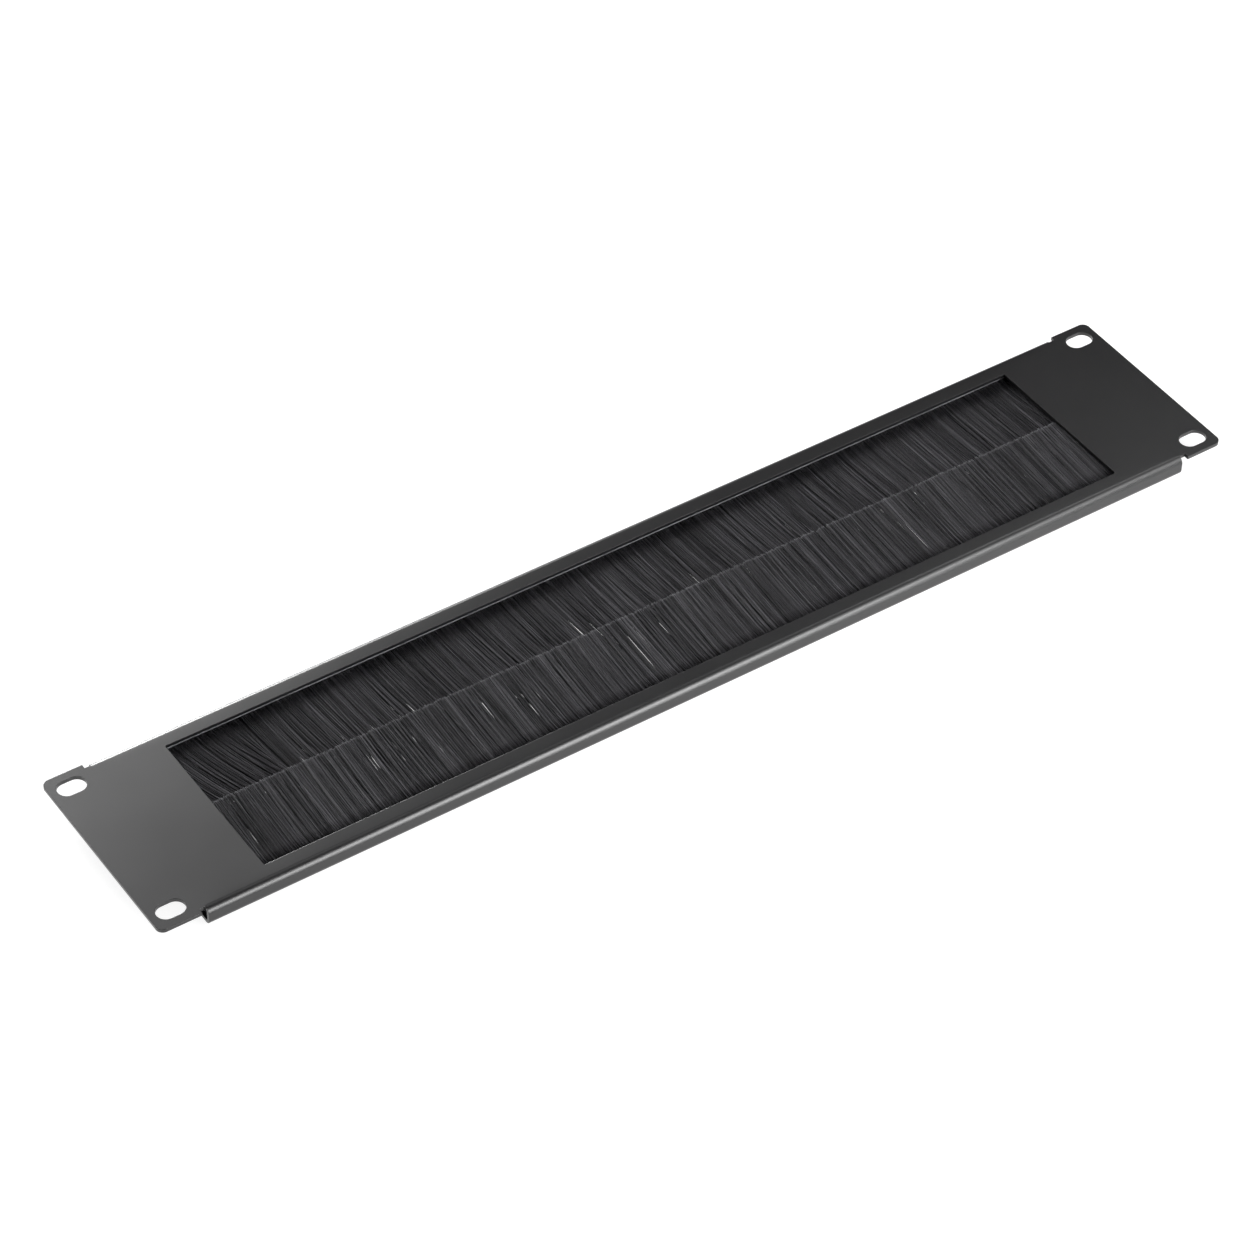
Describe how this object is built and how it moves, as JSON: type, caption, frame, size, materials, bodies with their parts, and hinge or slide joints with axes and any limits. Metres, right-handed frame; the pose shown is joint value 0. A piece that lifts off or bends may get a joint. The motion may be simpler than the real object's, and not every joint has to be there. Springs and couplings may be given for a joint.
{
  "type": "rack brush strip panel",
  "caption": "Flanged rack panel with slotted ears and a long cable window closed by overlapping strip brushes held in its folded edges.",
  "frame": {"origin": "middle of the slot pattern, on the rear face of the ears that bears on the rack rails", "axes": "+X along the panel's width, +Y up the panel as it stands in a rack, +Z out of its front face"},
  "size_m": [0.4826, 0.0882, 0.0086],
  "materials": {
    "powder_coat": "satin black powder coat with a fine orange-peel texture",
    "channel_steel": "galvanised sheet",
    "wire_steel": "drawn zinc-plated wire",
    "bristle": "black nylon filament with a soft sheen"
  },
  "bodies": {
    "root": {"panel": "powder_coat", "upper_channel": "channel_steel", "upper_core_wire": "wire_steel", "upper_bristles": "bristle", "lower_channel": "channel_steel", "lower_core_wire": "wire_steel", "lower_bristles": "bristle"}
  },
  "joints": []
}
